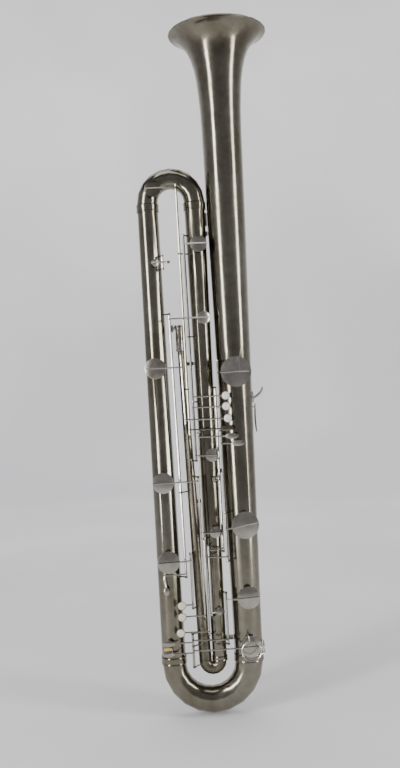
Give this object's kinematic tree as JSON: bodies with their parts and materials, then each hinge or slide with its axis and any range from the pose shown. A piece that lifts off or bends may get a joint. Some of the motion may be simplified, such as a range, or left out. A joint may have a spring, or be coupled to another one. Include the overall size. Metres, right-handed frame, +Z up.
{
  "type": "sarrusophone",
  "caption": "Tall folded conical woodwind in metal with a flared upright bell, round bows, stacked hinged padded keys, pearl touches and a crook socket.",
  "frame": {"origin": "centre of the bounding box in X and Y, lowest point of the bottom bow in Z", "axes": "+Z up along the legs towards the bell mouth, -Y the side with the keys, +X towards the bell leg"},
  "size_m": [0.2739, 0.194, 1.34],
  "materials": {
    "nickel": "satin",
    "dark_nickel": "satin",
    "pad_leather": "matte",
    "pearl": "gloss",
    "horn": "gloss"
  },
  "bodies": {
    "body": {"bell_tube": "nickel", "left_tube": "nickel", "middle_tube": "nickel", "narrow_tube": "dark_nickel", "top_bow": "nickel", "bottom_bow": "nickel", "boot_bow": "dark_nickel", "crook_receiver": "nickel", "thumb_hook": "nickel", "strap_ring": "nickel", "low_key_guard": "nickel"},
    "thumbscrew": {"thumbscrew": "dark_nickel"},
    "roller": {"roller": "horn"},
    "upper_middle_key": {"key_upper_middle": "nickel", "pad_upper_middle": "pad_leather", "pearl_upper_middle": "pearl"},
    "centre_middle_key": {"key_centre_middle": "nickel", "pad_centre_middle": "pad_leather", "pearl_centre_middle": "pearl"},
    "upper_left_key": {"key_upper_left": "nickel", "pad_upper_left": "pad_leather", "pearl_upper_left": "pearl"},
    "top_bow_key": {"key_top_bow": "nickel", "pad_top_bow": "pad_leather"},
    "lower_middle_key": {"key_lower_middle": "nickel", "pad_lower_middle": "pad_leather"},
    "upper_bell_key": {"key_upper_bell": "nickel", "pad_upper_bell": "pad_leather"},
    "vent_key": {"key_vent": "nickel", "pad_vent": "pad_leather"},
    "octave_key": {"key_octave": "nickel", "pad_octave": "pad_leather"},
    "second_octave_key": {"key_second_octave": "nickel", "pad_second_octave": "pad_leather"},
    "side_key": {"key_side": "nickel", "pad_side": "pad_leather"},
    "lower_left_key": {"key_lower_left": "nickel", "pad_lower_left": "pad_leather", "pearl_lower_left": "pearl"},
    "foot_left_key": {"key_foot_left": "nickel", "pad_foot_left": "pad_leather", "pearl_foot_left": "pearl"},
    "bell_link_key": {"key_bell_link": "nickel", "pearl_bell_link": "pearl"},
    "lower_bell_key": {"key_lower_bell": "nickel", "pad_lower_bell": "pad_leather"},
    "low_leaf_key": {"key_low_leaf": "nickel"},
    "foot_bell_key": {"key_foot_bell": "nickel", "pad_foot_bell": "pad_leather"},
    "lowest_key": {"key_lowest": "nickel", "pad_lowest": "pad_leather"}
  },
  "joints": [
    {"name": "upper_middle_swing", "type": "hinge", "parent": "body", "child": "upper_middle_key", "pos_m": [-0.04485, -0.025, 0.71985], "axis": [-0.0061, 0, 1], "range_deg": [0, 6.5], "stiffness_Nm_per_rad": 0.6, "springref_deg": -6.88},
    {"name": "centre_middle_swing", "type": "hinge", "parent": "body", "child": "centre_middle_key", "pos_m": [-0.04485, -0.025, 0.71985], "axis": [-0.0061, 0, 1], "range_deg": [0, 6.5], "stiffness_Nm_per_rad": 0.6, "springref_deg": -6.88},
    {"name": "upper_left_swing", "type": "hinge", "parent": "body", "child": "upper_left_key", "pos_m": [-0.0621, -0.017, 0.64], "axis": [-0.0213, 0, 0.9998], "range_deg": [0, 5], "stiffness_Nm_per_rad": 0.6, "springref_deg": -6.88},
    {"name": "top_bow_swing", "type": "hinge", "parent": "body", "child": "top_bow_key", "pos_m": [-0.0547, -0.0225, 0.79575], "axis": [-0.0052, -0.0061, 1], "range_deg": [0, 5], "stiffness_Nm_per_rad": 0.6, "springref_deg": -6.88},
    {"name": "lower_middle_swing", "type": "hinge", "parent": "body", "child": "lower_middle_key", "pos_m": [-0.036, -0.024, 0.3571], "axis": [0, 0, 1], "range_deg": [0, 6.5], "stiffness_Nm_per_rad": 0.6, "springref_deg": -6.88},
    {"name": "upper_bell_swing", "type": "hinge", "parent": "body", "child": "upper_bell_key", "pos_m": [0.0074, -0.031, 0.4975], "axis": [0, 0, 1], "range_deg": [0, 8], "stiffness_Nm_per_rad": 0.6, "springref_deg": -6.88},
    {"name": "vent_swing", "type": "hinge", "parent": "body", "child": "vent_key", "pos_m": [-0.0896, -0.022, 0.89], "axis": [0, 0, 1], "range_deg": [0, 9], "stiffness_Nm_per_rad": 0.6, "springref_deg": -6.88},
    {"name": "octave_swing", "type": "hinge", "parent": "body", "child": "octave_key", "pos_m": [0.0004, -0.009, 0.4795], "axis": [0, 0, 1], "range_deg": [0, 5], "stiffness_Nm_per_rad": 0.6, "springref_deg": -6.88},
    {"name": "second_octave_swing", "type": "hinge", "parent": "body", "child": "second_octave_key", "pos_m": [-0.029, -0.027, 0.2645], "axis": [0, 0, 1], "range_deg": [-4.9, 0], "stiffness_Nm_per_rad": 0.6, "springref_deg": 6.88},
    {"name": "side_swing", "type": "hinge", "parent": "body", "child": "side_key", "pos_m": [-0.07855, -0.02, 0.531], "axis": [-0.0138, 0, 0.9999], "range_deg": [-4, 0], "stiffness_Nm_per_rad": 0.6, "springref_deg": 6.88},
    {"name": "lower_left_swing", "type": "hinge", "parent": "body", "child": "lower_left_key", "pos_m": [-0.0421, -0.022, 0.32925], "axis": [0, 0, 1], "range_deg": [-5, 0], "stiffness_Nm_per_rad": 0.6, "springref_deg": 6.88},
    {"name": "foot_left_swing", "type": "hinge", "parent": "body", "child": "foot_left_key", "pos_m": [-0.0646, -0.018, 0.265], "axis": [0, 0, 1], "range_deg": [-6.5, 0], "stiffness_Nm_per_rad": 0.6, "springref_deg": 6.88},
    {"name": "bell_link_swing", "type": "hinge", "parent": "body", "child": "bell_link_key", "pos_m": [-0.036, -0.024, 0.3571], "axis": [0, 0, 1], "range_deg": [-5.1, 0], "stiffness_Nm_per_rad": 0.6, "springref_deg": 6.88},
    {"name": "lower_bell_swing", "type": "hinge", "parent": "body", "child": "lower_bell_key", "pos_m": [0.0074, -0.031, 0.4975], "axis": [0, 0, 1], "range_deg": [0, 6.1], "stiffness_Nm_per_rad": 0.6, "springref_deg": -6.88},
    {"name": "low_leaf_swing", "type": "hinge", "parent": "body", "child": "low_leaf_key", "pos_m": [-0.0686, -0.017, 0.128], "axis": [0, 0, 1], "range_deg": [-4.6, 0], "stiffness_Nm_per_rad": 0.6, "springref_deg": 6.88},
    {"name": "foot_bell_swing", "type": "hinge", "parent": "body", "child": "foot_bell_key", "pos_m": [0.0004, -0.025, 0.19025], "axis": [0, 0, 1], "range_deg": [0, 5.1], "stiffness_Nm_per_rad": 0.6, "springref_deg": -6.88},
    {"name": "lowest_swing", "type": "hinge", "parent": "body", "child": "lowest_key", "pos_m": [-0.0686, -0.017, 0.128], "axis": [0, 0, 1], "range_deg": [-3.5, 0], "stiffness_Nm_per_rad": 0.6, "springref_deg": 6.88},
    {"name": "thumbscrew_turn", "type": "hinge", "parent": "body", "child": "thumbscrew", "pos_m": [-0.0761, 0, 0.7613], "axis": [1, 0, 0], "continuous": true},
    {"name": "roller_turn", "type": "hinge", "parent": "lowest_key", "child": "roller", "pos_m": [-0.1176, -0.033, 0.137], "axis": [1, 0, 0], "continuous": true}
  ],
  "couplings": [
    {"joint": "second_octave_swing", "follows": "octave_swing", "ratio": -0.98},
    {"joint": "lower_bell_swing", "follows": "bell_link_swing", "ratio": -1.18},
    {"joint": "foot_bell_swing", "follows": "low_leaf_swing", "ratio": -1.09}
  ]
}
